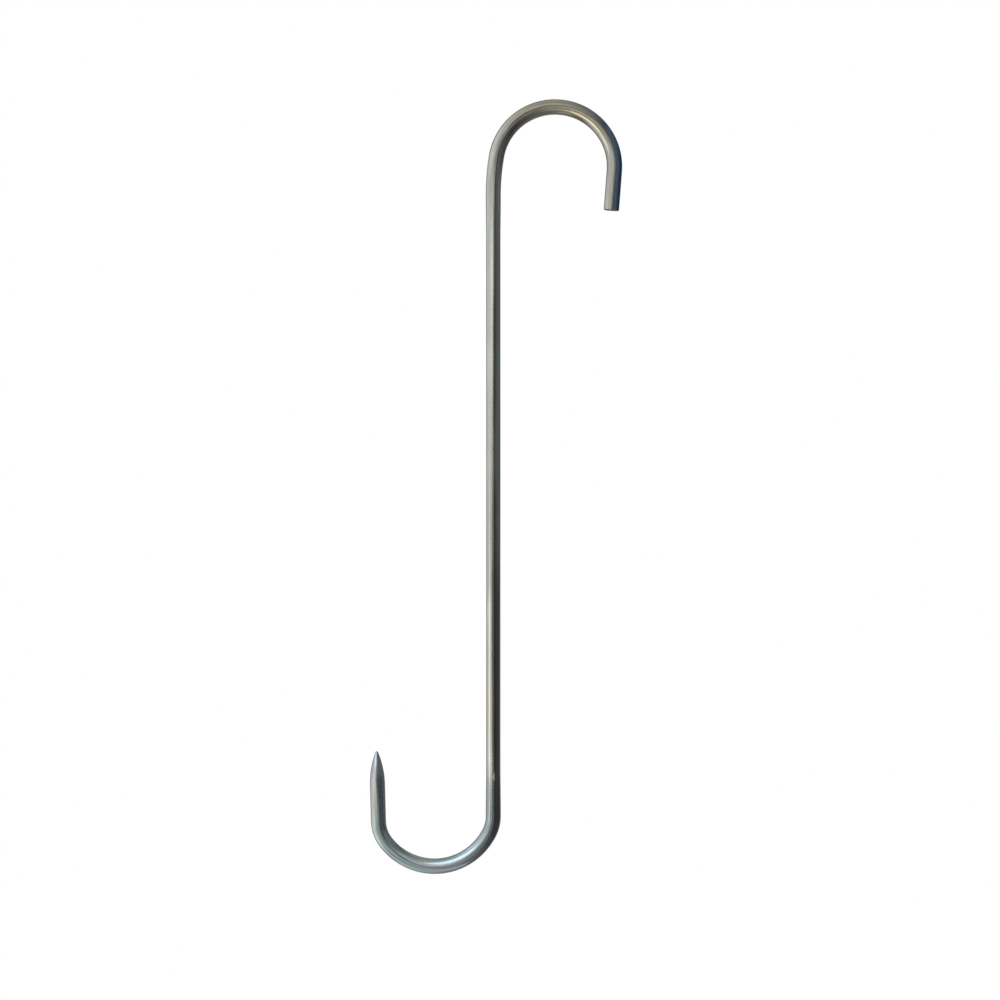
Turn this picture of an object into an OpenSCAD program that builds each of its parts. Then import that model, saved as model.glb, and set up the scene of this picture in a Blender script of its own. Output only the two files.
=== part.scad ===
// S hook: one length of round bar, bent in one plane into two opposite bends.
// The upper bend goes over a rail and ends in a blunt, sawn leg.
// The lower bend carries the load and ends in a leg ground to a point.
// The hook hangs upright, with +Z up and the middle of its bar in the XZ plane.
// The origin is on the underside of the upper bend, at its crown, where a rail touches it.
// Every bend radius is measured to the middle of the bar, and every turn and lean is in degrees.

/* [Bar] */
// Diameter of the round bar
bar_d = 8; // [5:0.5:12]
// How much thinner the bar is through its bends, where it was stretched
bend_thinning = 0.02; // [0.02:0.01:0.4]
// Short straight stretch that is left between one bend and the next
bend_gap = 1; // [0.5:0.1:5]
// Width of the small bevel around the sawn end
edge_break = 0.4; // [0.1:0.1:1]

/* [Rail bend] */
// Radius of the bend that goes over the rail
rail_bend_r = 31.5; // [20:0.5:60]
// Radius of the gentle curve that leads from the shank into that bend
lead_r = 120; // [60:0.5:250]
// Turn of the gentle curve
lead_turn = 9; // [2:0.1:25]
// Lean of the blunt leg, back towards the shank
rail_leg_lean = 4.4; // [0:0.1:12]
// Straight length of the blunt leg, below its bend
rail_leg = 21; // [8:0.5:60]

/* [Shank] */
// Straight length of the shank, between its two bends
shank = 329.5; // [60:0.5:600]

/* [Load bend] */
// Radius of the broad bottom of the load bend
load_bend_r = 32.5; // [20:0.5:60]
// Radius of the two tighter corners, at the heel and at the toe
corner_r = 19.5; // [10:0.5:40]
// Turn of the heel, the corner under the shank
heel_turn = 31.5; // [10:0.5:60]
// Turn of the toe, the corner under the pointed leg
toe_turn = 41; // [10:0.5:60]
// Lean of the pointed leg, away from the shank
load_leg_lean = 1.5; // [0:0.1:12]
// Straight length of the pointed leg, between its bend and its point
load_leg = 19.5; // [5:0.5:60]

/* [Point] */
// Length of the ground point
point_length = 17.5; // [8:0.5:40]
// Radius that rounds off the tip
tip_r = 0.8; // [0.2:0.1:2]

/* [Hidden] */
$fn = 96;

steel = [0.66, 0.66, 0.64];
bar_r = bar_d / 2;
bend_d = bar_d - bend_thinning;
// How far each straight stretch runs into its neighbours, so that they join as one solid
lap = 0.05;

// A quarter turn takes the bar from level at the crown to upright at the shank or at a leg
quarter = 90;
half_turn = 180;
crown_to_lead = quarter - lead_turn;
crown_to_leg = quarter + rail_leg_lean;
bottom_turn = half_turn - load_leg_lean - heel_turn - toe_turn;

// The point's side is one arc, tangent to the bar at its foot and to the round tip at its end
tip_z = point_length - tip_r;
side_r = (bar_r ^ 2 - tip_r ^ 2 + tip_z ^ 2) / (2 * (bar_r - tip_r));
side_turn = atan2(tip_z, side_r - bar_r);
side_steps = 12;
tip_steps = 5;

// Straight stretch of bar along +Z, and whatever follows it at its end
module straight(length) {
    translate([0, 0, -lap]) cylinder(d = bar_d, h = length + 2 * lap);
    translate([0, 0, length]) children();
}

// Stretch of bar that starts along +Z and turns towards +X, and whatever follows it at its end
module bend(radius, turn) {
    translate([radius, 0, 0])
        rotate([quarter, 0, half_turn])
            rotate_extrude(angle = turn)
                translate([radius, 0]) circle(d = bend_d);
    translate([radius, 0, 0]) rotate([0, turn, 0]) translate([-radius, 0, 0]) children();
}

// Turns the bar half round about its own middle, so that the next bend goes the other way
module roll_over() {
    rotate([0, 0, half_turn]) children();
}

// Blunt leg: straight bar with a square saw cut, bevelled around its edge
module blunt_leg() {
    rotate_extrude()
        polygon([
            [0, -lap],
            [bar_r, -lap],
            [bar_r, rail_leg - edge_break],
            [bar_r - edge_break, rail_leg],
            [0, rail_leg]
        ]);
}

// Side of the ground point, above its foot: the long arc, then the rounded tip
function point_side() = concat(
    [for (i = [0 : side_steps])
        let (a = side_turn * i / side_steps)
        [bar_r - side_r + side_r * cos(a), side_r * sin(a)]],
    [for (i = [1 : tip_steps - 1])
        let (a = side_turn + (quarter - side_turn) * i / tip_steps)
        [tip_r * cos(a), tip_z + tip_r * sin(a)]],
    [[0, point_length]]
);

// Pointed leg: straight bar, ground to a point at its end
module pointed_leg() {
    rotate_extrude()
        polygon(concat(
            [[0, -lap], [bar_r, -lap]],
            [for (p = point_side()) p + [0, load_leg]]
        ));
}

// Bar from the crown round to the sawn end
module rail_side() {
    rotate([0, quarter, 0])
        bend(rail_bend_r, crown_to_leg)
            blunt_leg();
}

// Bar from the crown down the shank, round the load bend and up to the tip
module load_side() {
    rotate([0, -quarter, 0]) roll_over()
        bend(rail_bend_r, crown_to_lead)
            straight(bend_gap)
                bend(lead_r, lead_turn)
                    straight(shank)
                        roll_over()
                            bend(corner_r, heel_turn)
                                straight(bend_gap)
                                    bend(load_bend_r, bottom_turn)
                                        straight(bend_gap)
                                            bend(corner_r, toe_turn)
                                                pointed_leg();
}

// The whole hook, one bent bar
module s_hook() {
    color(steel)
        translate([0, 0, bar_r])
            union() {
                rail_side();
                load_side();
            }
}

s_hook();
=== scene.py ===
import logging
import math
from dataclasses import dataclass
from enum import Enum
from typing import Any

import bmesh
import bpy
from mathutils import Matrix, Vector


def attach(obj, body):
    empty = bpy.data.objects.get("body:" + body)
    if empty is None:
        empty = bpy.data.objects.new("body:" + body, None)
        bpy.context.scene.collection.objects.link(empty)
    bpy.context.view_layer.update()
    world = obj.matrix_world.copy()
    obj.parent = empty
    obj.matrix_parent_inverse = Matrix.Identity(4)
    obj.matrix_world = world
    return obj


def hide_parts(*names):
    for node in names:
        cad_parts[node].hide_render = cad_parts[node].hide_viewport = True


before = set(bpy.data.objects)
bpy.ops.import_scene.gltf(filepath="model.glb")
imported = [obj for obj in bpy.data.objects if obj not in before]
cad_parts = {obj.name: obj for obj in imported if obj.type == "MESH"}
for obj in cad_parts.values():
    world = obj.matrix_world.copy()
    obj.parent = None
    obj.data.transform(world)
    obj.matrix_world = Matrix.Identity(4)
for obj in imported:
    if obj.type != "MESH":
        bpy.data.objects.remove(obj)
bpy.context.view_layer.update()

# A long S hook of round steel bar, dressed for its looks.
# The bar is swept along the same middle line as in the part's source.
# The hook hangs upright: +Z up, the bar bent in the XZ plane, a rail under the crown at the origin.
# Sizes are in metres, save where a class says millimetres. Turns and leans are in degrees.

MM = 0.001
TINY = 0.0001
NOISE_MIDDLE = 0.5
Pair = tuple[float, float]
Triple = tuple[float, float, float]
Colour = Triple
Stops = tuple[tuple[float, Colour], ...]
log = logging.getLogger("s_hook")


class Named(Enum):
    """Names of the piece and of the attributes that it carries."""

    BAR = "bent_bar"
    PLACE = "bar_place"
    ROUND = "bar_round"
    ALONG = "along"


def in_mm(first: float, second: float) -> Pair:
    """Returns two sizes in metres, from millimetres."""
    return first * MM, second * MM


def add_object(name: str, data: Any) -> bpy.types.Object:
    """Adds an object to the scene.

    Args:
        name: its name.
        data: its mesh, curve, lamp or camera.

    Returns:
        The object, at the origin.
    """
    made = bpy.data.objects.new(name, data)
    bpy.context.scene.collection.objects.link(made)
    return made


class Flow:
    """A number that runs through a node tree, so that maths on it is written as Python."""

    def __init__(self, web: "Web", socket: bpy.types.NodeSocket) -> None:
        """Wraps one output.

        Args:
            web: the tree that the output belongs to.
            socket: the output itself.
        """
        self.web = web
        self.socket = socket

    def _sum(self, operation: str, first: Any, second: Any = 0.0) -> "Flow":
        """Adds one Math node.

        Args:
            operation: the Math node's operation.
            first: its first value, a number or a flow.
            second: its second value.

        Returns:
            The result as a flow.
        """
        sockets = {"Value": first, "Value_001": second}
        node = self.web.add("ShaderNodeMath", {"operation": operation}, sockets)
        return Flow(self.web, node.outputs[0])

    def __add__(self, other: Any) -> "Flow":
        """Returns this plus the other."""
        return self._sum("ADD", self, other)

    __radd__ = __add__

    def __sub__(self, other: Any) -> "Flow":
        """Returns this less the other."""
        return self._sum("SUBTRACT", self, other)

    def __rsub__(self, other: Any) -> "Flow":
        """Returns the other less this."""
        return self._sum("SUBTRACT", other, self)

    def __mul__(self, other: Any) -> "Flow":
        """Returns this times the other."""
        return self._sum("MULTIPLY", self, other)

    __rmul__ = __mul__

    def __truediv__(self, other: Any) -> "Flow":
        """Returns this over the other."""
        return self._sum("DIVIDE", self, other)

    def __lt__(self, other: Any) -> "Flow":
        """Returns 1 where this is less than the other, and 0 elsewhere."""
        return self._sum("LESS_THAN", self, other)

    def at_least(self, other: Any) -> "Flow":
        """Returns the larger of this and the other."""
        return self._sum("MAXIMUM", self, other)

    def root(self) -> "Flow":
        """Returns the square root, and 0 below 0."""
        return self._sum("SQRT", self.at_least(0.0))

    def size(self) -> "Flow":
        """Returns this without its sign."""
        return self._sum("ABSOLUTE", self)

    def ease(self, low: float, high: float) -> "Flow":
        """Goes smoothly from 0 to 1.

        Args:
            low: where it is still 0.
            high: where it is 1. It may be less than low.

        Returns:
            The eased value.
        """
        flip = high < low
        sockets = {"Value": self, "From Min": min(low, high), "From Max": max(low, high)}
        sockets.update({"To Min": float(flip), "To Max": float(not flip)})
        node = self.web.add("ShaderNodeMapRange", {"interpolation_type": "SMOOTHSTEP"}, sockets)
        return Flow(self.web, node.outputs[0])


class Web:
    """A node tree that is filled from Python."""

    def __init__(self, tree: bpy.types.NodeTree) -> None:
        """Starts an empty tree.

        Args:
            tree: the tree to fill. Its old nodes go.
        """
        self.tree = tree
        tree.nodes.clear()

    def add(self, kind: str, settings: dict[str, Any], sockets: dict[str, Any]) -> bpy.types.Node:
        """Adds one node.

        Args:
            kind: the node's type.
            settings: its settings, set first. "stops" holds a ramp's places and colours.
            sockets: its inputs by identifier, each a value, a flow or another node's output.

        Returns:
            The new node.
        """
        node = self.tree.nodes.new(kind)
        for name, value in settings.items():
            if name == "stops":
                self._stops(node.color_ramp.elements, value)
            else:
                setattr(node, name, value)
        inputs = {socket.identifier: socket for socket in node.inputs}
        for name, value in sockets.items():
            source = value.socket if isinstance(value, Flow) else value
            if isinstance(source, bpy.types.NodeSocket):
                self.tree.links.new(source, inputs[name])
            elif inputs[name].type == "RGBA":
                inputs[name].default_value = (*source, 1.0)
            else:
                inputs[name].default_value = source
        return node

    def flow(self, kind: str, settings: dict[str, Any], sockets: dict[str, Any], out: str) -> Flow:
        """Adds one node and wraps one of its outputs.

        Args:
            kind: the node's type.
            settings: its settings.
            sockets: its inputs.
            out: the identifier of the output.

        Returns:
            That output as a flow.
        """
        node = self.add(kind, settings, sockets)
        return Flow(self, next(socket for socket in node.outputs if socket.identifier == out))

    def blend(self, factor: Any, first: Any, second: Any, way: str = "MIX") -> bpy.types.NodeSocket:
        """Mixes two colours.

        Args:
            factor: 0 for the first colour, 1 for the second.
            first: a colour or an output.
            second: a colour or an output.
            way: the Mix node's way of blending.

        Returns:
            The mixed colour.
        """
        settings = {"data_type": "RGBA", "blend_type": way}
        sockets = {"Factor_Float": factor, "A_Color": first, "B_Color": second}
        return self.flow("ShaderNodeMix", settings, sockets, "Result_Color").socket

    def tinted(self, colour: Any, tint: Any, factor: Any = 1.0) -> bpy.types.NodeSocket:
        """Multiplies one colour by another.

        Args:
            colour: a colour's output.
            tint: the other colour, or its output.
            factor: how much of the tint is taken, from 0 to 1.

        Returns:
            The product.
        """
        return self.blend(factor, colour, tint, "MULTIPLY")

    def noise(self, vector: Any, scales: Triple, detail: float = 2.0) -> Flow:
        """Adds noise that is stretched along the axes.

        Args:
            vector: the place that it is read at.
            scales: how many waves to the metre along x, y and z.
            detail: how many finer layers it has.

        Returns:
            Noise around NOISE_MIDDLE.
        """
        stretch = {"Vector": vector, "Vector_001": scales}
        place = self.add("ShaderNodeVectorMath", {"operation": "MULTIPLY"}, stretch).outputs[0]
        return self.flow("ShaderNodeTexNoise", {}, {"Vector": place, "Scale": 1.0, "Detail": detail}, "Fac")

    def parts(self, vector: Any) -> tuple[Flow, Flow, Flow]:
        """Splits a vector.

        Args:
            vector: the vector's output.

        Returns:
            Its x, y and z.
        """
        node = self.add("ShaderNodeSeparateXYZ", {}, {"Vector": vector})
        return Flow(self, node.outputs[0]), Flow(self, node.outputs[1]), Flow(self, node.outputs[2])

    @staticmethod
    def _stops(elements: Any, stops: Stops) -> None:
        """Sets a ramp's stops.

        Args:
            elements: the ramp's elements.
            stops: each stop's place and colour, in order.
        """
        while len(elements) < len(stops):
            elements.new(0.5)
        for element, (place, colour) in zip(elements, stops):
            element.position = place
            element.color = (*colour, 1.0)


def new_material(name: str) -> tuple[bpy.types.Material, Web]:
    """Starts a material.

    Args:
        name: its name.

    Returns:
        The material, and its empty tree.
    """
    material = bpy.data.materials.new(name)
    material.use_nodes = True
    return material, Web(material.node_tree)


@dataclass(frozen=True)
class Stretch:
    """One stretch of the bar's middle line, straight or bent."""

    length: float = 0.0
    radius: float = 0.0
    turn: float = 0.0

    def reach(self) -> float:
        """Returns the stretch's length along the bar."""
        return self.length or self.radius * math.radians(abs(self.turn))

    def offset(self, angle: float, distance: float) -> Vector:
        """Gives the way from the stretch's start to a place on it.

        Args:
            angle: the heading at its start, in radians.
            distance: how far along it.

        Returns:
            The offset in the XZ plane.
        """
        if not self.radius:
            return Vector((math.cos(angle), 0.0, math.sin(angle))) * distance
        side = math.copysign(self.radius, self.turn)
        end = angle + distance / side
        return Vector((math.sin(end) - math.sin(angle), 0.0, math.cos(angle) - math.cos(end))) * side


@dataclass
class MiddleLine:
    """The line through the middle of the bar, with the sizes of the part's source.

    The worked bar is thicker through its bends, by bend_swell, and thinner along its shank, by shank_waist.
    Each comes and goes over the length of fade. The load bend's swell ends load_swell past the shank.
    """

    bar_r: float = 4.0 * MM
    bend_swell: float = 0.1 * MM
    shank_waist: float = 0.2 * MM
    fade: float = 25.0 * MM
    load_swell: float = 75.0 * MM
    edge_break: float = 0.4 * MM
    rail_bend_r: float = 31.5 * MM
    lead_r: float = 120.0 * MM
    lead_turn: float = 9.0
    rail_leg_lean: float = 4.4
    rail_leg: float = 21.0 * MM
    bend_gap: float = 1.0 * MM
    shank: float = 329.5 * MM
    load_bend_r: float = 32.5 * MM
    corner_r: float = 19.5 * MM
    heel_turn: float = 31.5
    toe_turn: float = 41.0
    load_leg_lean: float = 1.5
    load_leg: float = 19.5 * MM
    point_length: float = 17.5 * MM
    tip_r: float = 0.8 * MM
    step: float = 1.3 * MM
    bevel_steps: int = 4
    bevel_clear: float = 2.2
    point_steps: int = 12

    def shank_start(self) -> float:
        """Returns how far from the sawn end the straight shank starts."""
        before_shank = self.rail_side() + self.load_side()[:3]
        return sum(stretch.reach() for stretch in before_shank)

    def shank_end(self) -> float:
        """Returns how far from the sawn end the straight shank ends."""
        return self.shank_start() + self.shank

    def side_r(self) -> float:
        """Returns the radius of the long arc down the side of the ground point."""
        tip_z = self.point_length - self.tip_r
        return (self.bar_r ** 2 - self.tip_r ** 2 + tip_z ** 2) / (2.0 * (self.bar_r - self.tip_r))

    def rail_side(self) -> list[Stretch]:
        """Returns the stretches from the crown to the sawn end."""
        return [Stretch(radius=self.rail_bend_r, turn=-90.0 - self.rail_leg_lean), Stretch(self.rail_leg)]

    def load_side(self) -> list[Stretch]:
        """Lays out the bar from the crown down the shank and up to the tip.

        Returns:
            Its stretches, in order.
        """
        bottom_turn = 180.0 - self.load_leg_lean - self.heel_turn - self.toe_turn
        gap = Stretch(self.bend_gap)
        return [
            Stretch(radius=self.rail_bend_r, turn=90.0 - self.lead_turn),
            gap,
            Stretch(radius=self.lead_r, turn=self.lead_turn),
            Stretch(self.shank),
            Stretch(radius=self.corner_r, turn=-self.heel_turn),
            gap,
            Stretch(radius=self.load_bend_r, turn=-bottom_turn),
            gap,
            Stretch(radius=self.corner_r, turn=-self.toe_turn),
            Stretch(self.load_leg + self.point_length),
        ]

    def points(self) -> list[Vector]:
        """Follows the whole bar.

        Returns:
            The middle line's points, from the sawn end to the tip.
        """
        rail, load = self.rail_side(), self.load_side()
        to_saw = self._walk(rail, 0.0, self._places(rail, self._saw_places()))
        to_tip = self._walk(load, 180.0, self._places(load, self._point_places()))
        return list(reversed(to_saw)) + to_tip[1:]

    def _saw_places(self) -> list[float]:
        """Returns how far from the sawn end its fine points lie, over the bevel and a little past it."""
        bevel = [self.edge_break * step / self.bevel_steps for step in range(self.bevel_steps + 1)]
        return bevel + [self.edge_break * self.bevel_clear]

    def _point_places(self) -> list[float]:
        """Chooses the fine points of the ground point.

        Returns:
            How far from the tip they lie, down the point's side and round its tip.
        """
        turn = math.asin((self.point_length - self.tip_r) / (self.side_r() - self.tip_r))
        shares = [step / self.point_steps for step in range(self.point_steps + 1)]
        side = [self.point_length - self.side_r() * math.sin(turn * share) for share in shares]
        tip = [turn + (math.pi / 2.0 - turn) * share for share in shares[1:]]
        return side + [self.tip_r * (1.0 - math.sin(angle)) for angle in tip]

    def _places(self, stretches: list[Stretch], fine: list[float]) -> list[float]:
        """Chooses how far along a side its points lie.

        Args:
            stretches: the side's stretches.
            fine: distances from the side's far end at which points are wanted.

        Returns:
            Distances from the crown, in order.
        """
        total = sum(stretch.reach() for stretch in stretches)
        plain = total - max(fine)
        count = round(plain / self.step)
        even = [plain * step / count for step in range(count)]
        return even + sorted(total - distance for distance in fine)

    def _walk(self, stretches: list[Stretch], heading: float, places: list[float]) -> list[Vector]:
        """Follows the stretches from the crown.

        Args:
            stretches: the side's stretches.
            heading: the way that it sets off, in degrees from +X towards +Z.
            places: distances along it at which points are wanted, in order.

        Returns:
            The points.
        """
        points: list[Vector] = []
        here = Vector((0.0, 0.0, self.bar_r))
        done = 0.0
        for stretch in stretches:
            angle = math.radians(heading)
            last = stretch is stretches[-1]
            reach = stretch.reach()
            for place in places[len(points):]:
                if place > done + reach and not last:
                    break
                points.append(here + stretch.offset(angle, place - done))
            here = here + stretch.offset(angle, reach)
            heading += stretch.turn
            done += reach
        return points


@dataclass(frozen=True)
class SheenAndShadeBand:
    """One lengthwise band of painted highlight or painted shade on the bar's skin, in millimetres; some also
    stand for lines that drawing left in it.

    It lies outer from the bar's middle, towards the outer side of the rail bend, and is half wide each way.
    It runs from start to end, counted from the sawn end, and comes and goes over twice the length of fade.
    Slant is how far it strays outward over each unit of its length.
    """

    outer: float
    half: float
    start: float
    end: float
    tone: Colour
    slant: float = 0.0
    fade: float = 9.0

    def mask(self, outer: Flow, along: Flow) -> Flow:
        """Masks the line.

        Args:
            outer: how far to the outer side of the rail bend.
            along: how far from the sawn end.

        Returns:
            1 on the line and 0 away from it.
        """
        start, end = in_mm(self.start, self.end)
        fade = self.fade * MM
        middle = (along - start) * self.slant + self.outer * MM
        across = (outer - middle).size().ease(self.half * MM, 0.0)
        reach = along.ease(start - fade, start + fade)
        return across * reach * along.ease(end + fade, end - fade)


@dataclass(frozen=True)
class BarPlace:
    """The bar's own unbent place: a vector, and its distances to the front, outward and along the bar."""

    web: Web
    vector: bpy.types.NodeSocket
    front: Flow
    outer: Flow
    along: Flow

    @classmethod
    def read(cls, web: Web) -> "BarPlace":
        """Returns the place that the sweep left on the bar."""
        vector = web.add("ShaderNodeAttribute", {"attribute_name": Named.PLACE.value}, {}).outputs["Vector"]
        return cls(web, vector, *web.parts(vector))


@dataclass(frozen=True)
class Grain:
    """Noise in the steel's skin, in waves to the metre to the front, outward and along the bar.

    As wear it is eased from low to high, and makes up its share of the whole.
    """

    front: float
    outer: float
    along: float
    detail: float = 2.0
    low: float = 0.30
    high: float = 0.70
    share: float = 0.0

    def read(self, place: BarPlace) -> Flow:
        """Returns the noise at a place on the bar, around NOISE_MIDDLE."""
        return place.web.noise(place.vector, (self.front, self.outer, self.along), self.detail)

    def wear(self, noise: Flow) -> Flow:
        """Returns the share of the wear that the noise makes up."""
        return noise.ease(self.low, self.high) * self.share


@dataclass(frozen=True)
class DrawnSteel:
    """Satin stainless bar, drawn lengthways, ground at its point and sawn at its other end.

    Its tint along the length is partly its own and partly painted reflection, warm at the crown. The blue
    and the navy on the outer side of the blunt leg are painted reflection, and its lengthwise bands are
    painted highlight and painted shade.
    A pair that follows a mask's name says where the mask is 0 and where it is 1.
    The tints are placed by their share of the bar's length, from the sawn end.
    """

    bright: Colour = (0.75, 0.75, 0.74)
    dull: Colour = (0.46, 0.46, 0.45)
    sawn: Colour = (0.30, 0.29, 0.28)
    nick: Colour = (0.80, 0.80, 0.80)
    warm_stain: Colour = (1.04, 0.98, 0.95)
    cool_stain: Colour = (0.95, 1.00, 1.03)
    # The blue and the navy are painted reflection on the outer side of the blunt leg.
    painted_blue_reflection: Colour = (0.40, 0.60, 0.80)
    painted_navy_reflection: Colour = (0.07, 0.17, 0.31)
    length: float = 590.6 * MM
    # Partly the steel's own tint and partly painted reflection: darker and cool below the nick, brighter
    # round the toe where highlights fall.
    tint_and_reflection: Stops = (
        (0.00, (0.96, 0.97, 0.94)),
        (0.06, (0.98, 0.95, 0.86)),
        (0.12, (1.01, 0.96, 0.81)),
        (0.18, (0.98, 1.00, 0.97)),
        (0.30, (1.00, 1.00, 0.94)),
        (0.752, (1.00, 1.00, 0.93)),
        (0.765, (0.74, 0.79, 0.79)),
        (0.80, (0.70, 0.80, 0.84)),
        (0.84, (0.82, 1.00, 1.06)),
        (0.92, (1.02, 1.20, 1.20)),
        (0.95, (0.97, 1.00, 0.99)),
        (1.00, (0.90, 1.00, 1.04)),
    )
    # Bands of painted highlight and painted shade along the bar, the same at the back; some also stand for
    # lines left by drawing.
    sheen_and_shade_bands: tuple[SheenAndShadeBand, ...] = (
        # Blunt leg and the right half of the rail bend
        SheenAndShadeBand(0.1, 1.0, -10.0, 44.0, (0.62, 0.64, 0.67)),
        SheenAndShadeBand(0.6, 1.0, 44.0, 68.0, (0.66, 0.57, 0.54)),
        SheenAndShadeBand(-3.6, 0.8, 20.0, 60.0, (0.72, 0.74, 0.72)),
        SheenAndShadeBand(-1.1, 0.8, -10.0, 42.0, (1.26, 1.33, 1.35)),
        SheenAndShadeBand(-1.7, 1.1, 36.0, 68.0, (1.22, 1.18, 1.10)),
        SheenAndShadeBand(-2.4, 0.4, 4.0, 46.0, (0.84, 0.82, 0.76)),
        SheenAndShadeBand(-2.4, 0.8, 50.0, 62.0, (1.26, 1.24, 1.16)),
        SheenAndShadeBand(2.4, 1.2, 34.0, 48.0, (1.66, 1.70, 1.66)),
        SheenAndShadeBand(3.7, 1.0, -10.0, 44.0, (0.48, 0.64, 0.76)),
        SheenAndShadeBand(3.4, 1.2, 44.0, 64.0, (0.40, 0.56, 0.66)),
        # Crown and the left half of the rail bend
        SheenAndShadeBand(2.8, 1.0, 68.0, 94.0, (1.50, 1.34, 1.10)),
        SheenAndShadeBand(3.8, 0.7, 74.0, 114.0, (0.62, 0.61, 0.60)),
        SheenAndShadeBand(0.2, 1.2, 66.0, 102.0, (0.50, 0.46, 0.42)),
        SheenAndShadeBand(0.2, 1.4, 80.0, 94.0, (0.62, 0.62, 0.62)),
        SheenAndShadeBand(-1.1, 0.9, 50.0, 108.0, (1.38, 1.30, 1.18)),
        SheenAndShadeBand(-1.8, 1.8, 80.0, 112.0, (0.76, 0.76, 0.76)),
        SheenAndShadeBand(2.0, 1.1, 102.0, 124.0, (1.32, 1.38, 1.40)),
        SheenAndShadeBand(0.0, 1.3, 90.0, 128.0, (0.54, 0.52, 0.49)),
        SheenAndShadeBand(-2.8, 1.4, 102.0, 124.0, (0.52, 0.52, 0.56)),
        SheenAndShadeBand(-1.5, 0.9, 114.0, 126.0, (1.26, 1.24, 1.20)),
        SheenAndShadeBand(-3.0, 0.7, 116.0, 126.0, (0.70, 0.70, 0.72)),
        # Shank
        SheenAndShadeBand(0.6, 1.0, 124.0, 158.0, (1.34, 1.32, 1.29)),
        SheenAndShadeBand(-1.4, 1.0, 112.0, 250.0, (0.92, 0.82, 0.70)),
        SheenAndShadeBand(-3.3, 0.8, 112.0, 250.0, (1.02, 1.18, 1.28)),
        SheenAndShadeBand(1.5, 0.3, 118.0, 330.0, (0.86, 0.86, 0.86)),
        SheenAndShadeBand(-0.4, 1.3, 192.0, 262.0, (0.68, 0.67, 0.66)),
        SheenAndShadeBand(3.2, 0.5, 240.0, 452.0, (0.84, 0.84, 0.84)),
        SheenAndShadeBand(2.4, 1.4, 350.0, 440.0, (1.24, 1.23, 1.21)),
        SheenAndShadeBand(-0.9, 1.6, 290.0, 446.0, (0.60, 0.60, 0.59)),
        SheenAndShadeBand(-2.4, 2.2, 430.0, 484.0, (1.16, 1.04, 0.98)),
        SheenAndShadeBand(-1.6, 1.2, 448.0, 462.0, (1.26, 1.26, 1.26)),
        # Heel and the bottom of the load bend
        SheenAndShadeBand(0.6, 1.2, 462.0, 478.0, (0.84, 0.85, 0.85)),
        SheenAndShadeBand(2.8, 0.8, 466.0, 504.0, (1.16, 1.26, 1.32)),
        SheenAndShadeBand(0.4, 0.9, 462.0, 486.0, (1.18, 1.02, 0.96)),
        SheenAndShadeBand(-1.8, 1.3, 478.0, 514.0, (1.46, 1.20, 1.24)),
        SheenAndShadeBand(-3.4, 1.1, 492.0, 512.0, (0.70, 0.60, 0.56)),
        SheenAndShadeBand(1.3, 1.0, 492.0, 512.0, (0.98, 0.88, 0.93)),
        SheenAndShadeBand(0.4, 1.0, 496.0, 528.0, (1.62, 1.38, 1.50)),
        SheenAndShadeBand(-0.7, 0.6, 504.0, 534.0, (0.54, 0.56, 0.60), 0.032),
        # Toe, pointed leg and point
        SheenAndShadeBand(1.4, 1.0, 532.0, 550.0, (1.42, 1.42, 1.44)),
        SheenAndShadeBand(0.1, 1.3, 526.0, 550.0, (0.64, 0.62, 0.62)),
        SheenAndShadeBand(-2.8, 1.3, 518.0, 548.0, (1.36, 1.32, 1.28)),
        SheenAndShadeBand(2.9, 0.8, 520.0, 560.0, (0.58, 0.60, 0.63)),
        SheenAndShadeBand(2.0, 1.6, 530.0, 582.0, (1.54, 1.60, 1.66)),
        SheenAndShadeBand(-0.2, 0.6, 556.0, 566.0, (1.30, 1.40, 1.46)),
        SheenAndShadeBand(1.2, 0.7, 534.0, 544.0, (1.30, 1.36, 1.40)),
        SheenAndShadeBand(-1.6, 1.6, 542.0, 572.0, (0.72, 0.74, 0.76)),
        SheenAndShadeBand(-2.9, 0.9, 554.0, 572.0, (1.24, 1.22, 1.20)),
        SheenAndShadeBand(-0.1, 1.2, 574.0, 612.0, (0.34, 0.35, 0.38)),
    )
    wobble: float = 0.9 * MM
    wobbling: Grain = Grain(240.0, 240.0, 150.0)
    drawn: Grain = Grain(900.0, 900.0, 6.0, detail=1.0, share=0.40)
    streak: Grain = Grain(420.0, 420.0, 3.0, detail=1.0, low=0.35, high=0.65, share=0.25)
    cloud: Grain = Grain(90.0, 90.0, 38.0, low=0.35, share=0.25)
    hairs: Grain = Grain(2600.0, 2600.0, 12.0, detail=1.0, share=0.10)
    stain: Grain = Grain(420.0, 420.0, 60.0)
    ring: Grain = Grain(260.0, 260.0, 3600.0)
    saw: Grain = Grain(3600.0, 260.0, 100.0)
    ragged: Grain = Grain(900.0, 900.0, 500.0)
    warm_where: Pair = (0.50, 0.68)
    cool_where: Pair = (0.50, 0.32)
    blue_reflection_across: Pair = in_mm(0.5, 2.0)
    blue_reflection_along: Pair = in_mm(64.0, 36.0)
    blue_reflection_share: float = 0.9
    navy_reflection_across: Pair = in_mm(1.2, 3.4)
    navy_reflection_along: Pair = in_mm(46.0, 24.0)
    point_along: Pair = in_mm(571.5, 575.5)
    saw_along: Pair = in_mm(0.28, 0.10)
    nick_at: Pair = in_mm(-0.4, 445.6)
    nick_half: Pair = in_mm(0.6, 2.3)
    nick_edge: Pair = (1.1, 0.6)
    nick_ragged: float = 0.9
    nick_front: Pair = in_mm(0.0, 1.0)
    nick_share: float = 0.7
    roughness: float = 0.20
    drawn_gloss: float = 0.12
    cloud_gloss: float = 0.08
    point_gloss: float = 0.05
    saw_gloss: float = 0.22
    nick_gloss: float = 0.25
    streak_relief: float = 1.5
    drawn_relief: float = 0.4
    ring_relief: float = 0.6
    saw_relief: float = 3.0
    nick_relief: float = 2.0
    bump_strength: float = 0.06
    bump_distance: float = 0.008 * MM

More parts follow.
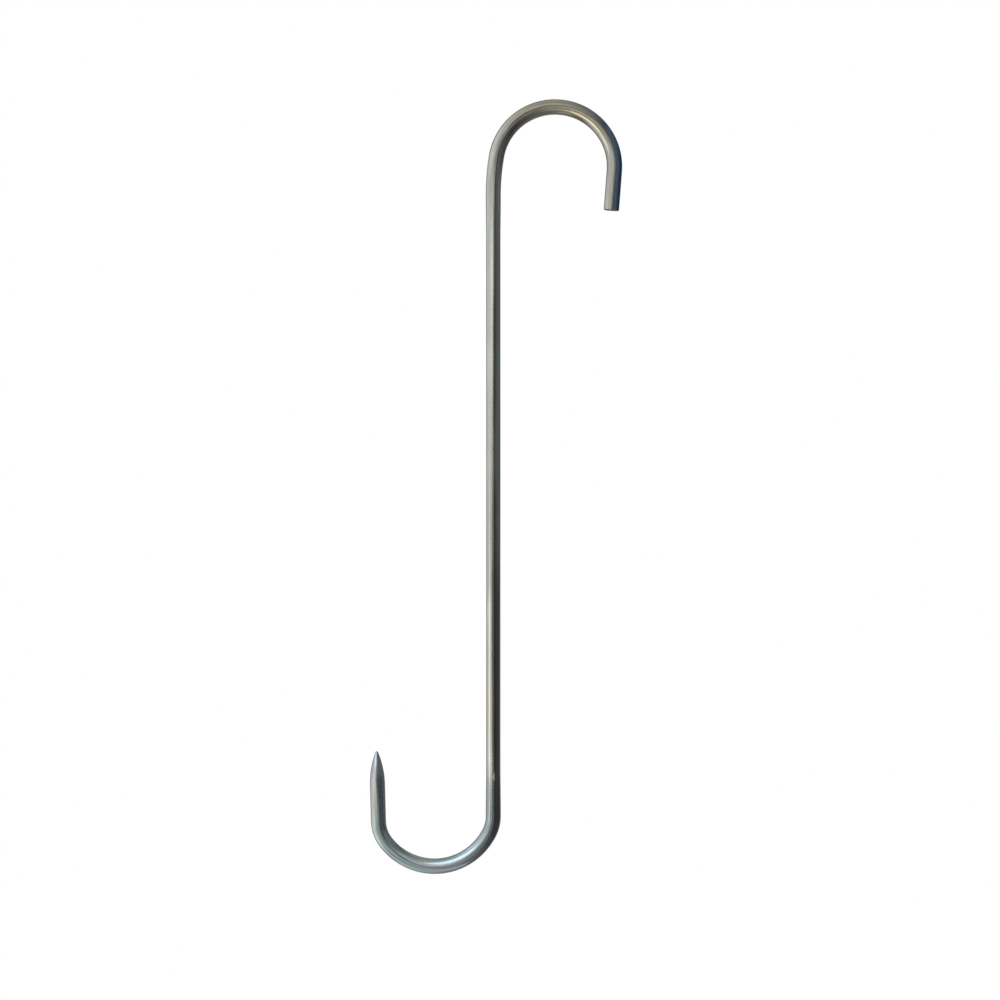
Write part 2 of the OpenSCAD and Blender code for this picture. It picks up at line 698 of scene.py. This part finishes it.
    def make(self) -> bpy.types.Material:
        """Builds the material.

        Returns:
            The steel, which reads the bar's own unbent place.
        """
        material, web = new_material("drawn_steel")
        place = BarPlace.read(web)
        drawn = self.drawn.read(place)
        streak = self.streak.read(place)
        cloud = self.cloud.read(place)
        at_point = place.along.ease(*self.point_along)
        at_saw = place.along.ease(*self.saw_along)
        nick = self._nick(place)
        wear = self.drawn.wear(drawn) + self.streak.wear(streak)
        wear = wear + self.cloud.wear(cloud) + self.hairs.wear(self.hairs.read(place))
        # The bands put painted highlight and painted shade on the worn steel.
        colour = self._paint_sheen_and_shade(place, web.blend(wear, self.dull, self.bright))
        colour = self._stained(place, colour)
        colour = self._tint_and_paint_reflection(place, colour)
        colour = web.blend(at_saw, colour, self.sawn)
        gloss = self.roughness + (drawn - NOISE_MIDDLE) * self.drawn_gloss
        gloss = gloss + (cloud - NOISE_MIDDLE) * self.cloud_gloss
        gloss = gloss + at_point * self.point_gloss + at_saw * self.saw_gloss + nick * self.nick_gloss
        relief = streak * self.streak_relief + drawn * self.drawn_relief
        relief = relief * (1.0 - at_point) * (1.0 - at_saw)
        relief = relief + self.ring.read(place) * at_point * self.ring_relief
        relief = relief + self.saw.read(place) * at_saw * self.saw_relief - nick * self.nick_relief
        bump = web.add("ShaderNodeBump", {}, {
            "Strength": self.bump_strength,
            "Distance": self.bump_distance,
            "Height": relief,
        })
        shader = web.add("ShaderNodeBsdfPrincipled", {}, {
            "Base Color": web.blend(nick * self.nick_share, colour, self.nick),
            "Metallic": 1.0,
            "Roughness": gloss,
            "Normal": bump.outputs[0],
        })
        web.add("ShaderNodeOutputMaterial", {}, {"Surface": shader.outputs[0]})
        return material

    def _paint_sheen_and_shade(self, place: BarPlace, colour: Any) -> bpy.types.NodeSocket:
        """Paints the bands of highlight and shade along the skin, each straying a little.

        Args:
            place: the bar's unbent place.
            colour: the worn steel.

        Returns:
            The steel with its painted highlights and shade.
        """
        stray = (self.wobbling.read(place) - NOISE_MIDDLE) * self.wobble + place.outer
        # Each band multiplies in a painted highlight or a painted shade.
        for line in self.sheen_and_shade_bands:
            colour = place.web.tinted(colour, line.tone, line.mask(stray, place.along))
        return colour

    def _stained(self, place: BarPlace, colour: Any) -> bpy.types.NodeSocket:
        """Stains the steel, warm in some places and cool in others.

        Args:
            place: the bar's unbent place.
            colour: the steel with its painted highlights and shade.

        Returns:
            The stained steel.
        """
        stain = self.stain.read(place)
        colour = place.web.tinted(colour, self.warm_stain, stain.ease(*self.warm_where))
        return place.web.tinted(colour, self.cool_stain, stain.ease(*self.cool_where))

    def _tint_and_paint_reflection(self, place: BarPlace, colour: Any) -> bpy.types.NodeSocket:
        """Tints the steel along its length, partly its own tint and partly painted reflection, and paints a
        blue reflection on the outer side of the blunt leg.

        Args:
            place: the bar's unbent place.
            colour: the stained steel.

        Returns:
            The tinted steel, with its painted reflection.
        """
        web, outer, along = place.web, place.outer, place.along
        # Tint along the length, partly the steel's own and partly painted reflection.
        tint = web.add("ShaderNodeValToRGB", {"stops": self.tint_and_reflection}, {"Fac": along / self.length})
        colour = web.tinted(colour, tint.outputs[0])
        # Painted blue reflection, then painted navy reflection, on the outer side of the blunt leg.
        blue_reflection_mask = outer.ease(*self.blue_reflection_across) * along.ease(*self.blue_reflection_along)
        colour = web.blend(blue_reflection_mask * self.blue_reflection_share, colour, self.painted_blue_reflection)
        navy_reflection_mask = outer.ease(*self.navy_reflection_across) * along.ease(*self.navy_reflection_along)
        return web.blend(navy_reflection_mask, colour, self.painted_navy_reflection)

    def _nick(self, place: BarPlace) -> Flow:
        """Masks the small nick on the front of the shank.

        Args:
            place: the bar's unbent place.

        Returns:
            1 in the nick and 0 around it.
        """
        aside, middle = self.nick_at
        wide, tall = self.nick_half
        rough = (self.ragged.read(place) - NOISE_MIDDLE) * self.nick_ragged
        spot_x = (place.outer - aside) / wide
        spot_y = (place.along - middle) / tall
        spot = (spot_x * spot_x + spot_y * spot_y).root() + rough
        return spot.ease(*self.nick_edge) * place.front.ease(*self.nick_front)


@dataclass
class BentBar:
    """The hook itself: one round bar, swept along its middle line."""

    line: MiddleLine
    sides: int = 96
    weld: float = 0.002 * MM
    crease: float = 34.0

    def build(self, steel: bpy.types.Material) -> bpy.types.Object:
        """Makes the bar as a plain mesh.

        Args:
            steel: its material.

        Returns:
            The finished piece, at the origin.
        """
        carrier = add_object("middle_line", self._curve())
        modifier = carrier.modifiers.new("sweep", "NODES")
        modifier.node_group, sizes = self._tree(steel)
        for identifier, value in sizes.items():
            modifier[identifier] = value
        bpy.context.view_layer.update()
        seen = carrier.evaluated_get(bpy.context.evaluated_depsgraph_get())
        mesh = bpy.data.meshes.new_from_object(seen)
        bpy.data.objects.remove(carrier)
        self._tidy(mesh)
        return add_object(Named.BAR.value, mesh)

    def dress(self, bar: bpy.types.Object) -> None:
        """Sets the piece in the place of the CAD's own bar.

        Args:
            bar: the finished piece.
        """
        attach(bar, "root")
        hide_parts("s_hook")

    def _curve(self) -> bpy.types.Curve:
        """Draws the middle line.

        Returns:
            It as a curve of short straight steps.
        """
        curve = bpy.data.curves.new("middle_line", "CURVE")
        curve.dimensions = "3D"
        points = self.line.points()
        spline = curve.splines.new("POLY")
        spline.points.add(len(points) - 1)
        for slot, point in zip(spline.points, points):
            slot.co = (*point, 1.0)
        return curve

    def _tidy(self, mesh: bpy.types.Mesh) -> None:
        """Closes the tip, turns every face outwards and keeps the sawn edge crisp.

        Args:
            mesh: the swept bar.
        """
        work = bmesh.new()
        work.from_mesh(mesh)
        bmesh.ops.remove_doubles(work, verts=work.verts, dist=self.weld)
        bmesh.ops.recalc_face_normals(work, faces=work.faces)
        for face in work.faces:
            face.smooth = True
        work.to_mesh(mesh)
        work.free()
        mesh.set_sharp_from_angle(angle=math.radians(self.crease))

    def _wanted(self) -> dict[str, float]:
        """Lists the sizes that the sweep is given.

        Returns:
            Each size, by the name of its input.
        """
        line = self.line
        return {
            "Bar radius": line.bar_r,
            "Edge break": line.edge_break,
            "Point length": line.point_length,
            "Tip radius": line.tip_r,
            "Side radius": line.side_r(),
            "Bend swell": line.bend_swell,
            "Shank waist": line.shank_waist,
            "Shank start": line.shank_start(),
            "Shank end": line.shank_end(),
        }

    def _tree(self, steel: bpy.types.Material) -> tuple[bpy.types.NodeTree, dict[str, float]]:
        """Builds the sweep.

        Args:
            steel: the material that it sets.

        Returns:
            The tree, and its inputs' values by identifier.
        """
        tree = bpy.data.node_groups.new("bent_round_bar", "GeometryNodeTree")
        face = tree.interface
        face.new_socket(name="Middle line", in_out="INPUT", socket_type="NodeSocketGeometry")
        face.new_socket(name="Bar", in_out="OUTPUT", socket_type="NodeSocketGeometry")
        sizes: dict[str, float] = {}
        for name, value in self._wanted().items():
            socket = face.new_socket(name=name, in_out="INPUT", socket_type="NodeSocketFloat")
            sizes[socket.identifier] = value
        count = face.new_socket(name="Sides", in_out="INPUT", socket_type="NodeSocketInt")
        sizes[count.identifier] = self.sides
        self._sweep(Web(tree), steel)
        return tree, sizes

    def _sweep(self, web: Web, steel: bpy.types.Material) -> None:
        """Fills the sweep's tree.

        Args:
            web: the tree, which has its named inputs and its output.
            steel: the material that it sets.
        """
        given = web.add("NodeGroupInput", {}, {}).outputs
        size = {name: Flow(web, given[name]) for name in self._wanted()}
        along = web.flow("GeometryNodeSplineParameter", {}, {}, "Length")
        whole = web.flow("GeometryNodeSplineLength", {}, {}, "Length")
        radius = self._radius(along, whole, size) + self._thickness(along, size)
        path = self._store(web, given["Middle line"], Named.ALONG, "FLOAT", along)
        rim = {"Resolution": given["Sides"], "Radius": 1.0}
        ring = web.add("GeometryNodeCurvePrimitiveCircle", {"mode": "RADIUS"}, rim).outputs[0]
        spot = web.add("GeometryNodeInputPosition", {}, {}).outputs[0]
        ring = self._store(web, ring, Named.ROUND, "FLOAT_VECTOR", spot)
        swept = web.add("GeometryNodeCurveToMesh", {}, {
            "Curve": path,
            "Profile Curve": ring,
            "Scale": radius,
            "Fill Caps": True,
        }).outputs[0]
        turn_x, turn_y, _ = web.parts(self._read(web, Named.ROUND, "FLOAT_VECTOR"))
        place = web.add("ShaderNodeCombineXYZ", {}, {
            "X": turn_x * size["Bar radius"],
            "Y": turn_y * size["Bar radius"],
            "Z": self._read(web, Named.ALONG, "FLOAT"),
        }).outputs[0]
        swept = self._store(web, swept, Named.PLACE, "FLOAT_VECTOR", place)
        solid = web.add("GeometryNodeRealizeInstances", {}, {"Geometry": swept}).outputs[0]
        solid = web.add("GeometryNodeSetMaterial", {}, {"Geometry": solid, "Material": steel}).outputs[0]
        output = web.add("NodeGroupOutput", {}, {})
        web.tree.links.new(solid, output.inputs[0])

    @staticmethod
    def _radius(along: Flow, whole: Flow, size: dict[str, Flow]) -> Flow:
        """Works out the true bar's radius at each place along it.

        Args:
            along: distance from the sawn end.
            whole: the bar's whole length.
            size: the sweep's named inputs.

        Returns:
            The radius there.
        """
        bar_r, point = size["Bar radius"], size["Point length"]
        tip_r, side_r = size["Tip radius"], size["Side radius"]
        height = (along - whole + point).at_least(0.0)
        tip_z = point - tip_r
        meet = tip_z * side_r / (side_r - tip_r)
        ground = bar_r - side_r + (side_r * side_r - height * height).root()
        rounded = (tip_r * tip_r - (height - tip_z) * (height - tip_z)).root()
        under = height < meet
        bevel = (size["Edge break"] - along).at_least(0.0)
        return ground * under + rounded * (1.0 - under) - bevel

    def _thickness(self, along: Flow, size: dict[str, Flow]) -> Flow:
        """Works out how much the worked bar strays from the true bar.

        Args:
            along: distance from the sawn end.
            size: the sweep's named inputs.

        Returns:
            What is added to its radius, which is less than nothing along the shank.
        """
        start, end = size["Shank start"], size["Shank end"]
        in_shank = self._past(along - start) * self._past(end - along)
        in_load_bend = self._past(along - end) * self._past(end - along + self.line.load_swell)
        in_rail_bend = self._past(start - along)
        return (in_rail_bend + in_load_bend) * size["Bend swell"] - in_shank * size["Shank waist"]

    def _past(self, distance: Flow) -> Flow:
        """Returns 0 where a distance is under 0, and 1 where it is over the fade's length."""
        return (distance / self.line.fade).ease(0.0, 1.0)

    @staticmethod
    def _store(web: Web, geometry: Any, name: Named, kind: str, value: Any) -> bpy.types.NodeSocket:
        """Keeps a value on every point.

        Args:
            web: the tree.
            geometry: what holds the points.
            name: the attribute's name.
            kind: its type.
            value: the value.

        Returns:
            The geometry with the attribute.
        """
        settings = {"data_type": kind, "domain": "POINT"}
        sockets = {"Geometry": geometry, "Name": name.value, "Value": value}
        return web.add("GeometryNodeStoreNamedAttribute", settings, sockets).outputs[0]

    @staticmethod
    def _read(web: Web, name: Named, kind: str) -> bpy.types.NodeSocket:
        """Reads an attribute back.

        Args:
            web: the tree.
            name: the attribute's name.
            kind: its type.

        Returns:
            Its value.
        """
        node = web.add("GeometryNodeInputNamedAttribute", {"data_type": kind}, {"Name": name.value})
        return node.outputs[0]


@dataclass(frozen=True)
class SoftLamp:
    """One soft round lamp, aimed at a place on the hook. Its glow is how bright it looks."""

    name: str
    place: Triple
    aim: Triple
    across: float
    glow: float
    tint: Colour = (1.0, 1.0, 1.0)
    mirrored: bool = True

    def hang(self) -> None:
        """Adds the lamp, at the watts that give its glow."""
        lamp = bpy.data.lights.new(self.name, "AREA")
        lamp.shape = "DISK"
        lamp.size = self.across
        lamp.energy = self.glow * math.pi * math.pi * self.across ** 2 / 4.0
        lamp.color = self.tint
        holder = add_object(self.name, lamp)
        holder.location = self.place
        holder.visible_camera = False
        holder.visible_glossy = self.mirrored
        holder.rotation_mode = "QUATERNION"
        holder.rotation_quaternion = (Vector(self.aim) - Vector(self.place)).to_track_quat("-Z", "Y")


@dataclass(frozen=True)
class Card:
    """One flat card that the steel mirrors, with half its width and half its height.

    As a flag it also keeps lamps off the hook.
    """

    name: str
    middle: Triple
    faces: Triple
    half: Pair
    colour: Colour
    flag: bool = False

    def shape(self) -> bmesh.types.BMesh:
        """Cuts the card.

        Returns:
            Its one face, in its place.
        """
        wide, tall = self.half
        middle = Vector(self.middle)
        turn = Vector(self.faces).to_track_quat("Z", "Y")
        corners = ((-wide, -tall), (wide, -tall), (wide, tall), (-wide, tall))
        work = bmesh.new()
        work.faces.new([work.verts.new(middle + turn @ Vector((x, y, 0.0))) for x, y in corners])
        return work


@dataclass
class Studio:
    """A plain pale studio: soft lamps, a floor, and cards that the steel mirrors.

    The stops of the walls go from its right to its left. They are turned one way by low_turn below the
    swing, and the other way by high_turn above it. Swing, level, steep and backward each say where a change
    starts and where it is done, on a direction of length 1.
    """

    fill: float = 0.9
    floor_middle: Triple = (-0.03, 0.0, -0.56)
    floor_r: float = 0.33
    floor_sides: int = 96
    floor_tones: tuple[Colour, Colour] = ((0.90, 0.90, 0.90), (0.92, 0.92, 0.92))
    floor_grain: Triple = (40.0, 40.0, 40.0)
    floor_mottle: Pair = (0.3, 0.7)
    floor_roughness: float = 0.8
    tent_r: float = 2.4
    tent_rings: int = 32
    walls: Stops = (
        (0.00, (0.050, 0.057, 0.065)),
        (0.25, (0.030, 0.030, 0.030)),
        (0.42, (0.045, 0.043, 0.040)),
        (0.50, (0.280, 0.275, 0.265)),
        (0.57, (0.740, 0.740, 0.720)),
        (0.68, (0.860, 0.860, 0.840)),
        (1.00, (0.800, 0.805, 0.790)),
    )
    low_turn: float = 0.25
    high_turn: float = 0.13
    swing: Pair = (-0.13, 0.07)
    ceiling: Colour = (0.36, 0.36, 0.35)
    below: Colour = (0.155, 0.155, 0.150)
    level: Pair = (-0.3, 0.3)
    steep: Pair = (0.62, 0.98)
    behind: Colour = (0.26, 0.26, 0.26)
    backward: Pair = (0.2, 0.9)
    bench_middle: Triple = (-0.09, 0.0, -0.50)
    bench_r: float = 0.10
    bench_sides: int = 64
    bench: Colour = (0.42, 0.44, 0.44)
    cards: tuple[Card, ...] = (
        Card("side", (0.45, 0.0, 0.06), (-1.0, 0.0, 0.0), (0.80, 0.30), (0.120, 0.135, 0.145)),
        Card(
            "rail_flag", (-0.066, -0.135, 0.060), (0.056, 0.135, -0.060), (0.115, 0.115), (0.54, 0.54, 0.53),
            flag=True,
        ),
        Card(
            "load_flag", (-0.16, -0.17, -0.455), (0.0, 1.0, 0.0), (0.10, 0.07), (0.40, 0.43, 0.44),
            flag=True,
        ),
    )
    lamps: tuple[SoftLamp, ...] = (
        SoftLamp("cool_lamp", (-0.31, -0.68, 0.26), (-0.05, 0.0, -0.39), 0.70, 1.40, (0.82, 0.93, 1.0)),
        SoftLamp("left_lamp", (-0.70, -0.60, 0.10), (-0.04, 0.0, -0.20), 0.40, 0.40, (0.86, 0.95, 1.0)),
        SoftLamp("warm_lamp", (-0.46, -0.78, -0.62), (0.02, 0.0, -0.02), 0.58, 0.90, (1.0, 0.91, 0.75)),
        SoftLamp("front_lamp", (-0.05, -0.62, -0.62), (-0.02, 0.0, -0.10), 0.44, 0.22, (1.0, 0.95, 0.84)),
        SoftLamp("low_lamp", (-1.00, -0.46, -0.42), (-0.06, 0.0, -0.36), 0.42, 0.45, (1.0, 1.0, 0.95)),
        SoftLamp("top_lamp", (-0.3, -0.2, 1.2), (0.0, 0.0, -0.3), 0.9, 0.5, mirrored=False),
    )

    def build(self) -> None:
        """Sets up the world, the lamps, the floor and the cards."""
        self._world()
        for lamp in self.lamps:
            lamp.hang()
        self._floor()
        self._tent()
        self._mirrored("bench", self._disc(self.bench_middle, self.bench_r, self.bench_sides), self.bench)
        for card in self.cards:
            self._mirrored(card.name, card.shape(), card.colour).visible_shadow = card.flag

    def _world(self) -> None:
        """Shows white behind the hook, and fills in softly elsewhere."""
        world = bpy.data.worlds.new("studio")
        bpy.context.scene.world = world
        world.use_nodes = True
        web = Web(world.node_tree)
        ray = web.add("ShaderNodeLightPath", {}, {}).outputs
        seen = Flow(web, ray["Is Camera Ray"]) + Flow(web, ray["Is Glossy Ray"])
        seen = seen + Flow(web, ray["Is Transmission Ray"])
        strength = seen.ease(0.0, 1.0) * (1.0 - self.fill) + self.fill
        light = web.add("ShaderNodeBackground", {}, {"Color": (1.0, 1.0, 1.0), "Strength": strength})
        web.add("ShaderNodeOutputWorld", {}, {"Surface": light.outputs[0]})

    def _floor(self) -> None:
        """Lays a round pale floor under the hook."""
        material, web = new_material("pale_floor")
        spot = web.add("ShaderNodeTexCoord", {}, {}).outputs["Object"]
        mottle = web.noise(spot, self.floor_grain).ease(*self.floor_mottle)
        colour = web.blend(mottle, *self.floor_tones)
        sockets = {"Base Color": colour, "Roughness": self.floor_roughness}
        shader = web.add("ShaderNodeBsdfPrincipled", {}, sockets)
        web.add("ShaderNodeOutputMaterial", {}, {"Surface": shader.outputs[0]})
        disc = self._disc(self.floor_middle, self.floor_r, self.floor_sides)
        self._stand("floor", disc, material).visible_glossy = False

    def _tent(self) -> None:
        """Sets pale and dark cards all round, which only the steel's mirror sees."""
        work = bmesh.new()
        rings = self.tent_rings
        bmesh.ops.create_uvsphere(work, u_segments=2 * rings, v_segments=rings, radius=self.tent_r)
        material, web = new_material("mirrored_cards")
        spot = web.add("ShaderNodeTexCoord", {}, {}).outputs["Object"]
        way = web.add("ShaderNodeVectorMath", {"operation": "NORMALIZE"}, {"Vector": spot}).outputs[0]
        right, back, up = web.parts(way)
        swung = up.ease(*self.swing) * (self.low_turn + self.high_turn)
        turned = 0.5 - right * 0.5 - self.low_turn + swung
        wall = web.add("ShaderNodeValToRGB", {"stops": self.walls}, {"Fac": turned}).outputs[0]
        lid = web.blend(up.ease(*self.level), self.below, self.ceiling)
        slope = up.size() / (right * right + up * up + TINY).root()
        colour = web.blend(slope.ease(*self.steep), wall, lid)
        colour = web.blend(back.ease(*self.backward), colour, self.behind)
        self._glow(material, web, colour)
        self._unseen(self._stand("cards", work, material))

    def _mirrored(self, name: str, work: bmesh.types.BMesh, colour: Colour) -> bpy.types.Object:
        """Stands a card of one colour.

        Args:
            name: its name.
            work: its shape.
            colour: its colour, as bright as it is seen.

        Returns:
            The card's object.
        """
        material, web = new_material(name + "_card")
        self._glow(material, web, colour)
        return self._unseen(self._stand(name, work, material))

    @staticmethod
    def _disc(middle: Triple, radius: float, sides: int) -> bmesh.types.BMesh:
        """Cuts a level disc.

        Args:
            middle: its middle.
            radius: its radius.
            sides: how many sides it has.

        Returns:
            Its one face, in its place.
        """
        work = bmesh.new()
        bmesh.ops.create_circle(work, cap_ends=True, segments=sides, radius=radius)
        bmesh.ops.translate(work, verts=work.verts, vec=middle)
        return work

    @staticmethod
    def _glow(material: bpy.types.Material, web: Web, colour: Any) -> None:
        """Gives a card its own even light.

        Args:
            material: the card's material.
            web: the material's tree.
            colour: a colour or an output.
        """
        material.cycles.emission_sampling = "NONE"
        light = web.add("ShaderNodeEmission", {}, {"Color": colour, "Strength": 1.0})
        web.add("ShaderNodeOutputMaterial", {}, {"Surface": light.outputs[0]})

    @staticmethod
    def _unseen(card: bpy.types.Object) -> bpy.types.Object:
        """Hides a card from all but the steel's mirror.

        Args:
            card: the card's object.

        Returns:
            The same object.
        """
        for ray in ("camera", "diffuse", "transmission", "volume_scatter", "shadow"):
            setattr(card, f"visible_{ray}", False)
        return card

    @staticmethod
    def _stand(name: str, work: bmesh.types.BMesh, material: bpy.types.Material) -> bpy.types.Object:
        """Turns a shape into a piece of the studio.

        Args:
            name: its name.
            work: its shape.
            material: its material.

        Returns:
            The object.
        """
        mesh = bpy.data.meshes.new(name)
        work.to_mesh(mesh)
        work.free()
        mesh.materials.append(material)
        stand = add_object(name, mesh)
        return stand


@dataclass(frozen=True)
class Viewpoint:
    """The camera, where the photograph was taken from. Its lens and sensor are in millimetres."""

    place: Triple = (-0.0292, -2.2083, -0.2043)
    lens: float = 150.0
    sensor: float = 36.0
    near: float = 0.05

    def set_up(self) -> None:
        """Adds the camera, level and looking along +Y."""
        camera = bpy.data.cameras.new("camera")
        camera.lens = self.lens
        camera.sensor_width = self.sensor
        camera.clip_start = self.near
        holder = add_object("camera", camera)
        holder.location = self.place
        holder.rotation_euler = (math.pi / 2.0, 0.0, 0.0)
        bpy.context.scene.camera = holder


def main() -> None:
    """Builds the camera, the studio and the hook, in that order."""
    logging.basicConfig(level=logging.INFO, format="%(message)s")
    bpy.context.scene.view_settings.view_transform = "Standard"
    Viewpoint().set_up()
    log.info("camera set up")
    Studio().build()
    log.info("studio: lamps, floor and cards")
    steel = DrawnSteel().make()
    hook = BentBar(MiddleLine())
    bar = hook.build(steel)
    hook.dress(bar)
    log.info("%s: %d faces", bar.name, len(bar.data.polygons))


if __name__ == "__main__":
    main()
